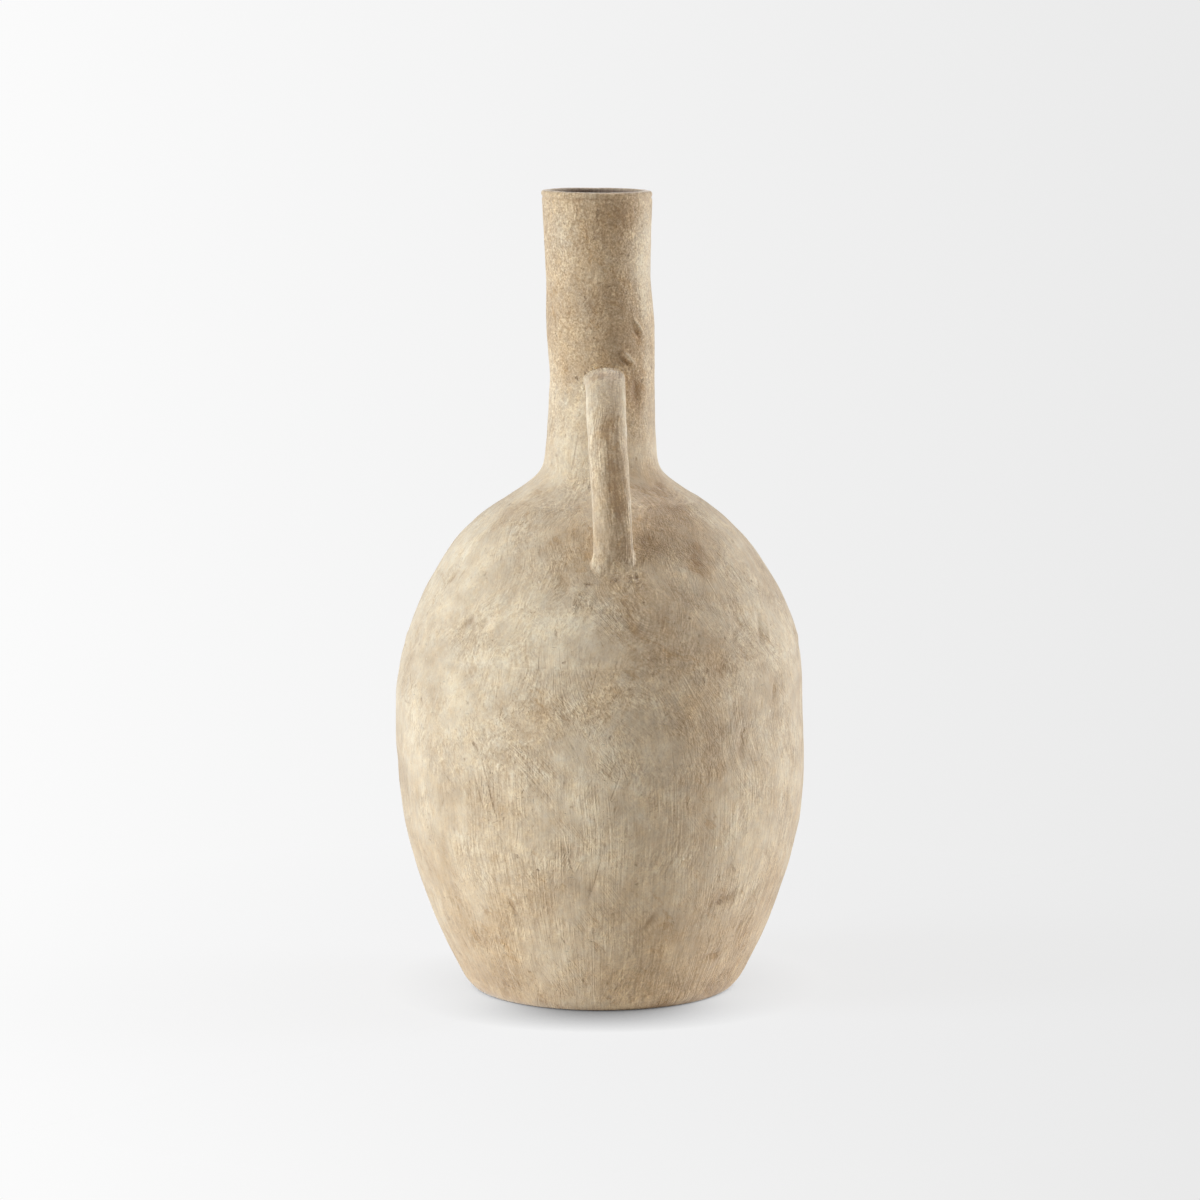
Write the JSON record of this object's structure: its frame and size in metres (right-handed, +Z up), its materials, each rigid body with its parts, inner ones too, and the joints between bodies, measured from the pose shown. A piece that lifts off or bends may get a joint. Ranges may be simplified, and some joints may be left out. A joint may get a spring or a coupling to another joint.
{
  "type": "one-handled ceramic bottle vase",
  "caption": "Hand-built earthenware bottle vase: egg-shaped body, tall slim open neck, and a flat strap handle from mid-neck to shoulder.",
  "frame": {"origin": "centre of the round foot's underside", "axes": "+Z up along the pot to its mouth, the strap handle on the -Y side, +X to the right of someone who faces the handle"},
  "size_m": [0.2339, 0.2338, 0.457],
  "materials": {
    "clay_body": "matte brushed slip",
    "handle_clay": "matte smoothed slip",
    "lute_slip": "matte thick slip"
  },
  "bodies": {
    "root": {"floor_slab": "clay_body", "belly_wall": "clay_body", "shoulder_dome": "clay_body", "neck": "clay_body", "neck_coil": "clay_body", "handle": "handle_clay", "handle_top_lute": "lute_slip", "handle_foot_lute": "lute_slip"}
  },
  "joints": []
}
